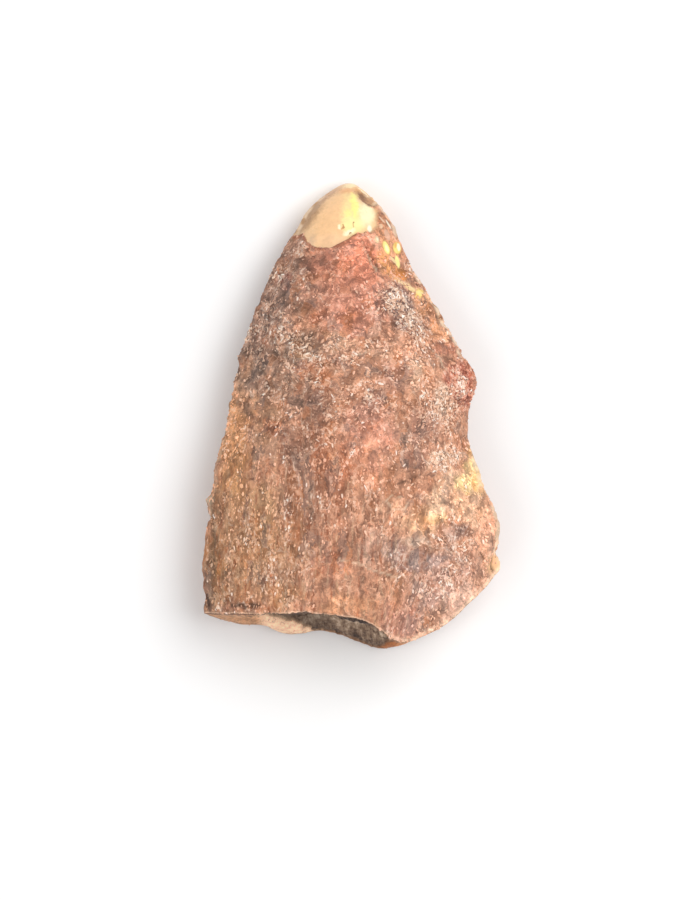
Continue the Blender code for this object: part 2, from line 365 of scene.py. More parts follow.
def rim_highlight(stretches):
    """A thin pale line painted along the outline as a highlight, in these stretches of it."""
    row = (spot[:, 1] / ROW).astype(int).clip(0)
    middles = (np.arange(row.max() + 1) + 0.5) * ROW
    lit_rim = np.zeros(len(spot))
    for side, start, end, strength in stretches:
        outermost = np.full(len(middles), -np.inf)
        np.maximum.at(outermost, row, side * spot[:, 0])
        inward = np.interp(spot[:, 1], middles, outermost) - side * spot[:, 0]
        there = rise(start - 0.4, start + 0.4, spot[:, 1]) * rise(end + 0.4, end - 0.4, spot[:, 1])
        lit_rim = np.maximum(lit_rim, strength * there * rise(0.26, 0.12, inward))
    return lit_rim * rise(-0.4, 0.0, wander[:, 0]) * rise(-0.3, 0.0, facing[:, 2])


hollow, bead = swollen(HOLLOWS), swollen(BEADS)
# the scars and the painted highlight along the outline share one measure
scarred = np.maximum(0.5 * scarred, rim_highlight(RIM_HIGHLIGHTS))
print("hollows and beads cover", int((hollow + bead > 0).sum()), "points")

# %% Measure how much of each relief a point gets
UPPER_WALL = (-5.2, -4.8, -1, 2.0, 2.6, 8), (1.0, 0.04, 0.04, 0.08, 0.6, 1.0)  # across, and the wall's thickness
LOWER_WALL = (-4.9, -4.5, -1.9, 1.3, 1.9, 8), (3.0, 0.1, 0.12, 0.06, 0.7, 1.0)
FLAKE_EDGE = (-4.9, -4.6, -3.3, -2.6, -2.1, -1.8), (23.1, 23.3, 23.6, 23.85, 24.1, 27.0)  # across, below the tip
EVEN_PATCH = (-0.2, 4.3, 2.0, 1.6, 0)  # an oval under the tip with finer grains

bare_share = rise(-0.02, 0.1, bare + 0.05 * wander[:, 0])
broken = rise(-0.05, 0.08, past_break)
thickness = np.where(under_upper_edge, np.interp(spot[:, 0], *UPPER_WALL), np.interp(spot[:, 0], *LOWER_WALL))
above_flake = np.interp(spot[:, 0], *FLAKE_EDGE) - spot[:, 1]
inner = np.minimum(past_break - thickness, above_flake) - 0.12 * wander[:, 1]
stone = rise(0.0, 0.12, inner)
resting = rise(0.9, 0.35, place[:, 2]) * rise(-0.8, -0.95, facing[:, 2])  # 1 on the face that it lies on
low_down = rise(11.0, 17.0, spot[:, 1])
crust = (1 - bare_share) * (1 - broken)
fine = 1 - 0.5 * rise(1.2, 0.7, reach(spot, *EVEN_PATCH))  # how coarse the grains are
print("points of crust:", int((crust > 0.5).sum()), "and of stone:", int((stone > 0.5).sum()))

# %% Add the reliefs up and push the skin
SWELL, TIP_SWELL = 0.02, 0.02  # what rounding and remeshing took off the outline, everywhere and at the tip
LEDGE = 0.07  # how far the bare tip lies below the crust
MARGIN = 0.004  # everything stays this far inside the solid's box

# the number before each field is its height in millimetres
relief = SWELL + TIP_SWELL * rise(0.9, 0.1, spot[:, 1]) + crust * (
    fine * (0.034 * grains + 0.03 * veins - 0.06 * pits) + (0.012 + 0.03 * low_down) * fibres + 0.07 * lumps
)
left_of_tip = rise(-0.1, -0.7, facing[:, 0]) * rise(0.2, 1.0, spot[:, 1]) * rise(8.5, 6.5, spot[:, 1])
relief += 0.1 * left_of_tip  # the outline is fuller here than the rounded solid
relief += bare_share * (0.012 * lumps - LEDGE * rise(1.4, 0.0, bare) * rise(0.1, 0.6, facing[:, 2]))
relief += broken * (0.04 * lumps + 0.02 * grains)
relief += stone * (0.14 * (grit - 0.9) + 0.04 * grains - 0.1 * rise(0.6, 0.0, inner))
relief += scar_height - crack_depth - hollow + bead * (1 - 0.6 * bare_share)
relief *= 1 - 0.85 * resting
# how far each point stands out from its surroundings, for the colours: raised places get a painted highlight, hollows
# painted shade
crest = crust * (fine * (0.9 * grains + 0.8 * veins - 1.2 * pits) + 0.25 * low_down * fibres) + stone * (grit - 0.9)
carved = np.clip(place + facing * relief[:, None], LOW + MARGIN, HIGH - MARGIN)
print("relief from", relief.min().round(3), "to", relief.max().round(3), "mm")

# %% [markdown]
# ## Step 5: stain the crust
#
# Fossil enamel takes its colour from the ground water, so it is stained in patches with soft ragged edges: red brown
# under the tip, mauve grey on the shoulder, ochre down the left edge, cream by the right. The patches come from a
# table of ovals in millimetres. The places are stirred by noise first, so that no oval shows. A shader can't hold
# eighty such masks at once, but the skin's points are close enough together to carry the result as a colour. The under
# face has a shorter table of its own.

# %% The stains
def paint(code):
    """A colour from its usual six-letter code, as the linear numbers that a shader takes."""
    parts = [int(code[k : k + 2], 16) / 255 for k in (0, 2, 4)]
    return (*(part / 12.92 if part <= 0.04045 else ((part + 0.055) / 1.055) ** 2.4 for part in parts), 1.0)


STAINS = [  # across, below the tip, half width, half height, turn, colour, strength
    (-3.9, 6.2, 1.5, 4.2, 24, "8e7264", 0.9),
    (-5.4, 9.9, 1.7, 2.6, 15, "8a7062", 0.9),
    (-3.4, 10.6, 3.0, 1.6, 0, "9c7e6b", 0.7),
    (-3.5, 5.6, 0.5, 0.6, 0, "8c5c50", 0.7),
    (0.4, 4.2, 2.1, 2.3, 0, "ea9678", 0.95),
    (-1.5, 4.3, 1.0, 1.4, 0, "b67a64", 0.8),
    (0.2, 6.9, 2.2, 2.1, 0, "c88a74", 0.9),
    (-1.8, 6.1, 0.8, 1.0, 0, "a87866", 0.6),
    (-1.8, 7.3, 0.8, 0.42, 0, "b4745a", 0.8),
    (-0.2, 7.35, 0.8, 0.5, 0, "bd7c60", 0.7),
    (-2.3, 10.2, 0.6, 0.4, 0, "b0704e", 0.95),
    (-1.6, 11.0, 0.65, 0.6, 0, "b37450", 0.9),
    (-0.6, 9.8, 1.0, 0.6, 0, "a87a66", 0.7),
    (-0.4, 8.8, 0.9, 0.5, -8, "d4ac8e", 0.7),
    (-2.4, 9.0, 1.6, 1.0, 0, "86705f", 0.75),
    (-2.4, 9.4, 0.4, 0.35, 0, "bca084", 0.6),
    (0.9, 9.2, 2.0, 0.6, -12, "cca084", 0.6),
    (2.3, 6.4, 0.7, 0.9, 0, "84605a", 0.85),
    (2.9, 7.5, 0.9, 1.5, -35, "70544f", 0.9),
    (4.1, 6.4, 0.8, 1.0, 35, "d0966a", 0.9),
    (4.7, 8.1, 0.7, 1.1, 20, "dda072", 0.8),
    (5.9, 10.7, 1.0, 1.7, 0, "b05c48", 0.9),
    (4.8, 8.8, 0.8, 0.5, 20, "b0705a", 0.7),
    (2.8, 8.9, 0.6, 0.8, 0, "d69e7e", 0.8),
    (3.5, 10.4, 0.5, 1.1, 0, "dab496", 0.8),
    (2.2, 10.4, 0.7, 1.3, 0, "aa8070", 0.8),
    (4.9, 11.6, 0.7, 1.3, 0, "c6aa94", 0.85),
    (4.0, 13.1, 1.1, 1.3, 0, "a07868", 0.7),
    (-1.9, 12.0, 1.0, 1.2, 0, "805c4c", 0.8),
    (-1.7, 13.4, 0.8, 0.8, 0, "8c6450", 0.7),
    (1.1, 12.0, 0.9, 0.7, 0, "a07866", 0.7),
    (1.7, 11.8, 0.4, 0.35, 0, "8a7a70", 0.8),
    (-2.9, 14.5, 1.2, 1.3, 0, "8c6654", 0.85),
    (0.9, 13.4, 1.5, 2.0, 0, "c8927e", 0.85),
    (1.1, 15.2, 1.0, 1.5, 0, "da9a7c", 0.8),
    (-6.1, 12.4, 0.8, 3.0, 12, "d89e6c", 0.95),
    (-6.3, 15.6, 1.1, 2.6, 5, "d09a68", 0.9),
    (-4.6, 13.2, 1.0, 1.8, 0, "c09878", 0.7),
    (-4.1, 13.4, 0.7, 0.6, 0, "b8704a", 0.85),
    (-5.2, 19.4, 2.6, 3.6, 0, "b88d66", 0.85),
    (-4.8, 17.6, 0.8, 1.2, 0, "c69a6c", 0.7),
    (-4.2, 21.5, 1.2, 1.0, 0, "9c7a62", 0.65),
    (-3.0, 20.2, 0.9, 0.9, 0, "a07c60", 0.6),
    (-7.4, 20.2, 0.7, 3.0, 0, "8a6a48", 0.8),
    (-6.9, 20.6, 0.4, 0.7, 0, "c2894c", 0.6),
    (-1.4, 15.6, 0.9, 2.4, 0, "ac6a48", 0.75),
    (-0.3, 15.8, 0.4, 2.2, 0, "b06c4c", 0.7),
    (-0.9, 20.2, 0.6, 1.3, 0, "b87456", 0.6),
    (-2.6, 17.2, 1.3, 1.8, 0, "98705a", 0.7),
    (1.1, 19.9, 0.9, 1.4, 0, "d6ae98", 0.8),
    (2.6, 20.2, 0.7, 0.8, 0, "a07e72", 0.7),
    (4.9, 15.0, 1.1, 0.4, -15, "dcc0a4", 0.6),
    (3.3, 14.8, 1.1, 0.9, 0, "9a7262", 0.75),
    (5.5, 16.3, 1.0, 0.8, 0, "ecc2a0", 0.8),
    (6.7, 15.7, 0.85, 1.6, 0, "ffd996", 0.95),
    (6.4, 15.3, 0.45, 0.45, 20, "ffe0a0", 0.9),
    (6.1, 16.4, 0.35, 0.6, 0, "ffe2a4", 0.9),
    (6.4, 17.5, 1.2, 0.9, 0, "f6c8a4", 0.85),
    (3.9, 18.2, 1.5, 0.8, -10, "ecbe94", 0.8),
    (4.3, 18.1, 0.8, 0.4, -10, "f6bc80", 0.8),
    (4.7, 17.9, 0.4, 0.35, 0, "ffdc9c", 0.9),
    (2.4, 17.4, 0.7, 0.6, 0, "dcae90", 0.7),
    (3.4, 19.3, 0.7, 0.4, 0, "ddc4ae", 0.7),
    (5.6, 19.0, 0.9, 0.7, -15, "9c8278", 0.85),
    (4.0, 20.3, 1.8, 0.7, -8, "9a8884", 0.85),
    (7.1, 18.9, 0.7, 2.0, 0, "eeb898", 0.9),
    (4.8, 21.7, 2.4, 1.2, -20, "be9c90", 0.8),
    (6.7, 21.6, 0.9, 0.9, -35, "dcb096", 0.6),
    (5.6, 22.8, 1.5, 0.8, -38, "e8c4b0", 0.7),
    (4.6, 17.4, 0.8, 0.8, 0, "ffdcb8", 0.7),
    (4.4, 20.2, 0.7, 0.6, 0, "d0b4aa", 0.6),
    (2.5, 19.9, 1.0, 0.6, -5, "97837c", 0.6),
    (-4.8, 17.5, 0.9, 0.8, 0, "d0a482", 0.45),
    (-0.6, 18.9, 0.9, 0.7, 0, "c48a6c", 0.45),
    (2.3, 23.0, 0.9, 0.6, 0, "da9c80", 0.45),
    (1.1, 11.9, 0.9, 0.8, 0, "9a705e", 0.55),
    (-5.7, 11.0, 0.9, 1.3, 10, "a89084", 0.4),
    (-1.6, 21.0, 0.8, 0.6, 10, "a8704e", 0.6),
    (-0.2, 22.8, 1.8, 0.7, 0, "dca27a", 0.75),
    (-3.8, 22.2, 1.1, 0.7, 0, "c08e62", 0.7),
    (-6.8, 22.2, 1.3, 0.9, 0, "a07a56", 0.8),
    (-5.6, 22.75, 1.0, 0.3, 0, "75594c", 0.7),
    (2.7, 23.6, 1.3, 1.0, 0, "b88474", 0.8),
]
UNDER_STAINS = [  # the same for the under face
    (0.0, 12.5, 9.0, 13.5, 0, "b3896f", 1.0),
    (-3.5, 7.0, 2.2, 3.0, 20, "94776a", 0.8),
    (2.5, 6.5, 2.0, 3.5, -15, "c08468", 0.8),
    (0.5, 12.0, 1.8, 3.4, 5, "a97358", 0.7),
    (-5.5, 16.5, 1.2, 4.0, 5, "be8d5e", 0.8),
    (4.8, 13.0, 1.6, 3.0, -10, "a58a7e", 0.8),
    (5.6, 18.5, 1.5, 2.4, 0, "d3a383", 0.8),
    (0.5, 19.5, 3.4, 1.6, 8, "9c7f72", 0.7),
    (-2.6, 21.8, 2.2, 1.2, 0, "c79a76", 0.8),
]
print(len(STAINS), "stains on the upper face and", len(UNDER_STAINS), "on the under face")


# %% Lay the stains over one another
def stirring(size, seed):
    """Two noises, as a push across and down for each point."""
    return np.column_stack(
        [sample(lambda p: noise.fractal(p / size + Vector((seed, 9 * k, 0)), 1.0, 2.0, 3), place) for k in (1, 2)]
    )


def stained(colour, spots, stains, share):
    """A colour for each place, after these ovals are laid over it one after another."""
    for *shape, stain, strength in stains:
        amount = (share * strength * rise(1.25, 0.35, reach(spots, *shape)))[:, None]
        colour = colour * (1 - amount) + np.array(paint(stain)) * amount
    return colour


GROUND, STONE_STAIN = paint("c08e72"), paint("75634f")
WARMTH = (1.12, 1.04, 1.0, 1.0)  # makes every stain a little redder
DAPPLED = [  # across, below the tip, half width, half height, turn, strength
    (-4.2, 8.4, 2.0, 5.0, 22, 1.0),
    (3.4, 8.4, 1.7, 3.4, -18, 0.3),
    (4.2, 18.8, 3.4, 4.0, 0, 0.3),
]

stirred = spot + 0.6 * stirring(1.6, 3) + 0.22 * stirring(0.35, 21)
stain = stained(np.array([GROUND] * len(spot)), stirred, STAINS, up)
stain = stained(stain, stirred, UNDER_STAINS, 1 - up)
stain = stain * np.array(WARMTH) * (1 - stone[:, None]) + np.array(STONE_STAIN) * stone[:, None]
dappled = np.zeros(len(spot))
for *shape, strength in DAPPLED:
    dappled = np.maximum(dappled, strength * up * rise(1.3, 0.5, reach(spot, *shape)))
stain *= (1 + 0.7 * (0.1 + dappled) * cloud(2.6, 2, (4, 2, 6)) * crust)[:, None]
print("mean stain:", stain.mean(axis=0).round(3))

# %% [markdown]
# ## Step 6: make it a piece of the model
#
# The carved places go back into the skin, and its measures are noted on it for the shaders and the grains. It also
# gets a map of its own, with the upper face, the under face and the broken end side by side, because an automatic
# unwrap would cut a rough skin in thousands of small islands. It stays in millimetres until the grains lie on it.

# %% Write the skin's places, measures and map
MAP_GAP = 0.3  # between two views
MAP_BORDER = 0.01  # of the whole map


def lay_out_map(mesh):
    """One flat view of each side of the tooth, beside each other."""
    corners = np.empty(len(mesh.loops), np.int32)
    mesh.loops.foreach_get("vertex_index", corners)
    counts = np.empty(len(mesh.polygons), np.int32)
    mesh.polygons.foreach_get("loop_total", counts)
    owner = np.repeat(np.arange(len(counts)), counts)

    def of_face(values):
        return np.bincount(owner, values[corners]) / counts

    size = HIGH - LOW
    from_low = carved - LOW
    side = np.where(of_face(past_break) > 0, 2, np.where(of_face(facing[:, 2]) > 0, 0, 1))[owner]
    across, along_y, height = from_low[corners].T
    u = np.choose(side, (across, across + size[0] + MAP_GAP, across))
    v = np.choose(side, (along_y, along_y, height + size[1] + MAP_GAP))
    span = max(2 * size[0] + MAP_GAP, size[1] + size[2] + MAP_GAP)
    layer = mesh.uv_layers.new(name="OFBake")
    places = MAP_BORDER + (1 - 2 * MAP_BORDER) * np.column_stack((u, v)) / span
    layer.uv.foreach_set("vector", places.astype(np.float32).ravel())


def note(mesh, name, values):
    """Keep a measure on the mesh as an attribute."""
    mesh.attributes.new(name, "FLOAT", "POINT").data.foreach_set("value", values.astype(np.float32))


def piece_of(name, mesh, material):
    """A piece of the model, riding on its one body."""
    mesh.name = name
    mesh.materials.clear()
    mesh.materials.append(material)
    piece = bpy.data.objects.new(name, mesh)
    bpy.context.scene.collection.objects.link(piece)
    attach(piece, "root")
    return piece


skin.vertices.foreach_set("co", carved.astype(np.float32).ravel())
for name, values in (
    ("bare", bare), ("past_break", past_break), ("crest", crest), ("up", up), ("cracked", cracked),
    ("scarred", scarred), ("stone", stone), ("upper_lip", under_upper_edge),
):  # fmt: skip
    note(skin, name, values)
skin.attributes.new("stain", "FLOAT_COLOR", "POINT").data.foreach_set("color", stain.astype(np.float32).ravel())
lay_out_map(skin)
skin.polygons.foreach_set("use_smooth", np.ones(len(skin.polygons), bool))
skin.update()
print("the map has", len(skin.uv_layers[0].uv), "corners")

# %% [markdown]
# ## Step 7: loose grains by Geometry Nodes
#
# The crust sparkles because single crystals stand clear of it. That is a shape that repeats over a surface, so
# Geometry Nodes make it: points are scattered where an attribute says that the crust is rough, a tiny lump with
# twenty faces is set on each, and each lump gets its own size, turn and tint. The tree ends in real geometry.

# %% Build the tree that scatters grains
ASKED = {  # the inputs that each kind of grain sets
    "Grains per square mm": "Float",
    "Gathering": "Float",  # the larger, the more the grains keep to the roughest places
    "Smallest": "Vector",
    "Largest": "Vector",
    "Seed": "Int",
}
SIZE_SEED, TURN_SEED, TINT_SEED = 5, 8, 11
TILT, TURN = 0.4, 1.0  # in radians, before the turn is multiplied by the skin's swing


def grain_tree(material):
    """Scatter points where the crust is rough, and put on each a lump of its own size, turn and tint."""
    tree = bpy.data.node_groups.new("scatter grains", "GeometryNodeTree")

    def ask(name, kind, side="INPUT"):
        return tree.interface.new_socket(name, in_out=side, socket_type="NodeSocket" + kind)

    def live(sockets):
        """The sockets that the node's settings switch on, by name and by number."""
        return {**dict(enumerate(sockets)), **{socket.name: socket for socket in sockets if socket.enabled}}

    def add(kind, settings=(), inputs=()):
        node = tree.nodes.new(kind)
        for name, value in dict(settings).items():
            setattr(node, name, value)
        for name, value in dict(inputs).items():
            socket = live(node.inputs)[name]
            if isinstance(value, bpy.types.NodeSocket):
                tree.links.new(value, socket)
            else:
                socket.default_value = value
        return live(node.outputs)

    def measure(name):
        return add("GeometryNodeInputNamedAttribute", {"data_type": "FLOAT"}, {"Name": name})["Attribute"]

    ask("Crust", "Geometry")
    for name, kind in ASKED.items():
        ask(name, kind)
    ask("Grains", "Geometry", "OUTPUT")
    asked = add("NodeGroupInput")

    # where the grains are
    gathered = add("ShaderNodeMath", {"operation": "POWER"}, {0: measure("rough"), 1: asked["Gathering"]})[0]
    amount = add("ShaderNodeMath", {"operation": "MULTIPLY"}, {0: gathered, 1: asked["Grains per square mm"]})[0]
    points = add(
        "GeometryNodeDistributePointsOnFaces",
        {"distribute_method": "RANDOM"},
        {"Mesh": asked["Crust"], "Density": amount, "Seed": asked["Seed"]},
    )

    # how large each one is, and how it lies
    any_vector = {"data_type": "FLOAT_VECTOR"}
    sizes = {"Min": asked["Smallest"], "Max": asked["Largest"], "Seed": SIZE_SEED}
    size = add("FunctionNodeRandomValue", any_vector, sizes)
    turns = {"Min": (-TILT, -TILT, -TURN), "Max": (TILT, TILT, TURN), "Seed": TURN_SEED}
    tilt = add("FunctionNodeRandomValue", any_vector, turns)
    swing = add("ShaderNodeCombineXYZ", inputs={"X": 1.0, "Y": 1.0, "Z": measure("swing")})["Vector"]
    swung = add("ShaderNodeVectorMath", {"operation": "MULTIPLY"}, {0: tilt["Value"], 1: swing})["Vector"]
    turn = add("FunctionNodeEulerToRotation", inputs={"Euler": swung})["Rotation"]
    along_tooth = add(
        "FunctionNodeAlignRotationToVector",
        {"axis": "X", "pivot_axis": "Z"},
        {"Rotation": points["Rotation"], "Vector": (0.0, 1.0, 0.0)},
    )["Rotation"]
    lying = add(
        "FunctionNodeRotateRotation", {"rotation_space": "LOCAL"}, {"Rotation": along_tooth, "Rotate By": turn}
    )["Rotation"]

    # a lump on each point, with a tint, made real
    lump = add("GeometryNodeMeshIcoSphere", inputs={"Radius": 1.0, "Subdivisions": 1})["Mesh"]
    placed = add(
        "GeometryNodeInstanceOnPoints",
        inputs={"Points": points["Points"], "Instance": lump, "Rotation": lying, "Scale": size["Value"]},
    )["Instances"]
    tint = add("FunctionNodeRandomValue", {"data_type": "FLOAT"}, {"Seed": TINT_SEED})["Value"]
    tinted = add(
        "GeometryNodeStoreNamedAttribute",
        {"data_type": "FLOAT", "domain": "INSTANCE"},
        {"Geometry": placed, "Name": "tint", "Value": tint},
    )["Geometry"]
    real = add("GeometryNodeRealizeInstances", inputs={"Geometry": tinted})["Geometry"]
    named = add("GeometryNodeSetMaterial", inputs={"Geometry": real, "Material": material})["Geometry"]
    add("NodeGroupOutput", inputs={"Grains": named})
    return tree


def scattered(mesh, tree, asked):
    """The tree's result on this mesh, with its inputs set by their names."""
    holder = bpy.data.objects.new("holder", mesh)
    bpy.context.scene.collection.objects.link(holder)
    modifier = holder.modifiers.new("scatter", "NODES")
    modifier.node_group = tree
    for socket in tree.interface.items_tree:
        if socket.in_out == "INPUT" and socket.name in asked:
            modifier[socket.identifier] = asked[socket.name]
    made = bpy.data.meshes.new_from_object(holder.evaluated_get(bpy.context.evaluated_depsgraph_get()))
    holder.modifiers.remove(modifier)
    bpy.data.objects.remove(holder)
    return made


print("each kind of grain sets", ", ".join(ASKED))

# %% [markdown]
# ## Step 8: a small kit for shader maths
#
# The finishes below are sums of many fields, and wiring them by hand hides the idea. A `Field` wraps a socket, so
# that an expression such as 1 - bare adds the Math nodes it needs. A `Finish` builds one material with one method
# for every other node.


# %% The shader kit
class Field:
    """A socket that can stand in an expression."""

    def __init__(self, finish, socket):
        self.finish, self.socket = finish, socket

    def maths(self, operation, *values, **settings):
        settings["operation"] = operation
        return self.finish.add("ShaderNodeMath", settings, dict(enumerate(values)))

    def __add__(self, other):
        return self.maths("ADD", self, other)

    def __sub__(self, other):
        return self.maths("SUBTRACT", self, other)

    def __rsub__(self, other):
        return self.maths("SUBTRACT", other, self)

    def __mul__(self, other):
        return self.maths("MULTIPLY", self, other)

    __radd__, __rmul__ = __add__, __mul__

    def __abs__(self):
        return self.maths("ABSOLUTE", self)

    def held(self):
        """Kept between 0 and 1."""
        return self.maths("ADD", self, 0.0, use_clamp=True)

    def rise(self, low, high):
        """0 at low, 1 at high, with a smooth step between; low may be the larger."""
        inputs = {"Value": self, "From Min": low, "From Max": high}
        return self.finish.add("ShaderNodeMapRange", {"interpolation_type": "SMOOTHSTEP"}, inputs)


class Finish:
    """One material, built node by node."""

    def __init__(self, name):
        self.material = bpy.data.materials.new(name)
        self.material.use_nodes = True
        self.tree = self.material.node_tree
        self.shader = self.tree.nodes["Principled BSDF"]

    def plug(self, socket, value):
        if isinstance(value, Field):
            self.tree.links.new(value.socket, socket)
        else:
            socket.default_value = value

    def add(self, kind, settings=(), inputs=(), output=0):
        node = self.tree.nodes.new(kind)
        for name, value in dict(settings).items():
            if name == "stops":
                self.set_stops(node.color_ramp, value)
            else:
                setattr(node, name, value)
        for name, value in dict(inputs).items():
            self.plug(node.inputs[name], value)
        return Field(self, node.outputs[output])

    def set_stops(self, ramp, stops):
        while len(ramp.elements) < len(stops):
            ramp.elements.new(1.0)
        for element, (position, colour) in zip(ramp.elements, stops):
            element.position, element.color = position, colour

    def mix(self, share, below, above):
        """One colour laid over another."""
        return self.add("ShaderNodeMix", {"data_type": "RGBA"}, {0: share, 6: below, 7: above}, 2)

    def vector(self, operation, first, second=None, scale=None):
        inputs = {0: first}
        if second is not None:
            inputs[1] = second
        if scale is not None:
            inputs["Scale"] = scale
        output = "Value" if operation == "LENGTH" else "Vector"
        return self.add("ShaderNodeVectorMath", {"operation": operation}, inputs, output)

    def noise(self, place, scale, detail=2.0, roughness=0.5, distortion=0.0, output="Fac"):
        inputs = {"Vector": place, "Scale": scale, "Detail": detail, "Roughness": roughness, "Distortion": distortion}
        return self.add("ShaderNodeTexNoise", {}, inputs, output)

    def cells(self, place, scale, output="Distance", feature="F1"):
        return self.add("ShaderNodeTexVoronoi", {"feature": feature}, {"Vector": place, "Scale": scale}, output)

    def channels(self, colour):
        """The three random numbers that a cell's colour holds."""
        node = self.add("ShaderNodeSeparateColor", {}, {"Color": colour}, "Red").socket.node
        return [Field(self, socket) for socket in node.outputs]

    def measure(self, name, output="Fac"):
        """One of the skin's own attributes."""
        return self.add("ShaderNodeAttribute", {"attribute_name": name}, {}, output)

    def in_mm(self):
        """The places on a piece, in millimetres."""
        place = self.add("ShaderNodeTexCoord", {}, {}, "Object")
        return self.vector("SCALE", place, scale=1 / MM)


print("the kit has", [name for name in vars(Finish) if name[0] != "_"])

# %% [markdown]
# ## Step 9: the enamel
#
# The enamel is one material for the whole skin. Where the crust, the bare tip and the broken end begin is read from
# the skin's own measures, so their edges stay sharp and stay in place, however much the rest is stirred. Each of the
# next cells lays one part of it over the colour so far.

# %% The enamel's measures, and the noises that its parts share
MEASURES = ("bare", "past_break", "crest", "up", "cracked", "scarred", "rough", "stone", "upper_lip")
SPECK = 5.0  # cells per millimetre


def stirred_by(finish, place, scale, amount, flat=False):
    """Places pushed about by a noise, so that what is drawn on them winds."""
    push = finish.vector("SUBTRACT", finish.noise(place, scale, 3, 0.6, output="Color"), (0.5,) * 3)
    return finish.vector("ADD", place, finish.vector("MULTIPLY", push, (amount, amount, 0 if flat else amount)))


class Enamel(Finish):
    """The finish of the whole skin, with what all its parts need."""

    def __init__(self):
        super().__init__("fossil enamel")
        for name in MEASURES:
            setattr(self, name, self.measure(name))
        self.stain = self.measure("stain", "Color")
        self.above = self.up.rise(0.3, 0.7)
        place = self.place = self.in_mm()
        # places as they look from above, stirred so that what is drawn on them has ragged edges
        self.flat = self.vector("MULTIPLY", stirred_by(self, place, 4.0, 0.3, flat=True), (1, 1, 0))
        self.across, self.down = (self.add("ShaderNodeSeparateXYZ", {}, {0: place}, axis) for axis in "XY")
        # low down, and more so on the left, fibres show and the sugar is drawn out along the tooth
        self.low = self.down.rise(1.0, -6.0) * (0.3 + 0.7 * self.across.rise(4.5, 1.0))
        self.drawn_out = self.add("ShaderNodeCombineXYZ", {}, {"X": 1.0, "Y": 1 - 0.5 * self.low, "Z": 1.0})
        swirled = stirred_by(self, place, 1.6, 0.9)
        self.streaks = self.noise(self.vector("MULTIPLY", swirled, (3.2, 0.45, 0)), 1.0, 4, 0.65)
        self.swirled = self.vector("MULTIPLY", swirled, self.drawn_out)
        # the fine sugar, and three random numbers for each of its grains
        self.bits = self.channels(self.cells(self.swirled, SPECK, "Color"))
        self.sugar = self.noise(self.swirled, 2.0, 5, 0.8, 0.4)
        self.speck = (self.sugar + 0.2 * (self.bits[1] - 0.5) + 0.07 * self.rough).rise(0.6, 0.66)


enamel = Enamel()
print("nodes to begin with:", len(enamel.tree.nodes))

# %% The marks on the bare tip and beside it
BARE_MARKS = [  # on the bare tip: across, below the tip, half width, half height, turn, colour, strength
    # the first two marks are painted shade, a darker band along the left outline of the tip
    (-2.3, 1.85, 0.46, 1.7, 38, "ac8058", 0.85),
    (-1.2, 0.62, 0.26, 0.9, 55, "c8956a", 0.8),
    (-2.1, 3.3, 0.3, 0.6, 20, "dcb897", 0.8),
    (-1.0, 2.2, 1.0, 1.7, 25, "fccb98", 0.9),
    (-1.0, 3.2, 1.0, 0.5, 0, "facca0", 0.7),
    (0.0, 1.6, 0.6, 1.4, 0, "ffe6a2", 0.8),
    (0.2, 1.2, 0.25, 0.9, -8, "fff38e", 0.8),
    (-0.15, 1.7, 0.22, 0.3, 0, "fff59c", 0.7),
    (0.1, 2.35, 0.75, 0.5, 0, "fff0a8", 0.9),
    # painted highlight: a white patch on the right of the glossy bare tip
    (0.85, 1.7, 0.5, 0.8, 0, "fff8c8", 0.9),
    (-0.1, 2.72, 0.4, 0.18, -25, "fffdd4", 0.9),
    (1.0, 2.5, 0.14, 0.25, 0, "fffbe0", 0.9),
    (-0.1, 0.42, 0.7, 0.2, -5, "e8ac78", 0.8),
    (-0.05, 0.14, 0.4, 0.16, 0, "ffeab8", 0.8),
    (0.8, 0.86, 0.88, 0.31, 35, "b88c66", 1.0),
    (0.6, 0.78, 0.42, 0.13, 42, "7c563c", 0.8),
    (1.1, 0.98, 0.34, 0.14, 38, "c89c7a", 0.8),
    (0.82, 1.09, 0.66, 0.05, 33, "80533a", 0.8),
    (0.7, 0.5, 0.5, 0.06, 40, "fff0cc", 0.7),
    (-0.62, 2.44, 0.08, 0.17, 0, "fffad2", 1.0),
    (-0.44, 2.45, 0.06, 0.18, 23, "c48858", 0.9),
    (0.13, 2.18, 0.06, 0.1, 0, "ac7c50", 0.9),
    (0.13, 2.37, 0.05, 0.15, -10, "d09a66", 0.8),
    (-0.05, 2.78, 0.07, 0.06, 0, "ac7248", 0.9),
]
FRESH_MARKS = [  # on the stained crust, under the sugar
    (1.9, 3.0, 0.75, 1.7, -22, "fdb58a", 0.95),
    (1.3, 3.2, 0.3, 0.7, -25, "f8b898", 0.9),
    (1.45, 1.75, 0.14, 0.7, -20, "c27a54", 0.8),
    (2.0, 4.7, 0.75, 0.5, 30, "f5a768", 0.9),
    (1.75, 4.2, 0.5, 0.6, 0, "f8ae72", 0.85),
    (2.6, 5.0, 0.5, 0.45, 20, "f09c50", 0.85),
    # painted shade: a dark band on the far side of the ridge under the tip
    (1.05, 4.1, 0.15, 0.9, -26, "8f4f38", 0.8),
    (-7.6, 17.1, 0.3, 0.35, 0, "cbb89e", 0.8),
    (-7.7, 17.95, 0.16, 0.26, 15, "4a2f24", 0.9),
    (-7.7, 22.55, 0.16, 0.5, 0, "5a3526", 0.9),
]
SMOOTH_MARKS = [  # over the sugar
    (7.0, 15.6, 0.35, 1.2, 0, "ffd6a2", 0.5),
    (3.1, 5.65, 0.9, 0.15, 32, "ffe0a0", 0.9),
    (3.66, 6.0, 0.28, 0.3, -10, "ffe27c", 0.8),
    (7.9, 20.6, 0.7, 0.8, 0, "ffcb98", 0.9),
    (2.7, 5.1, 0.4, 0.3, 20, "f0923c", 0.5),
]
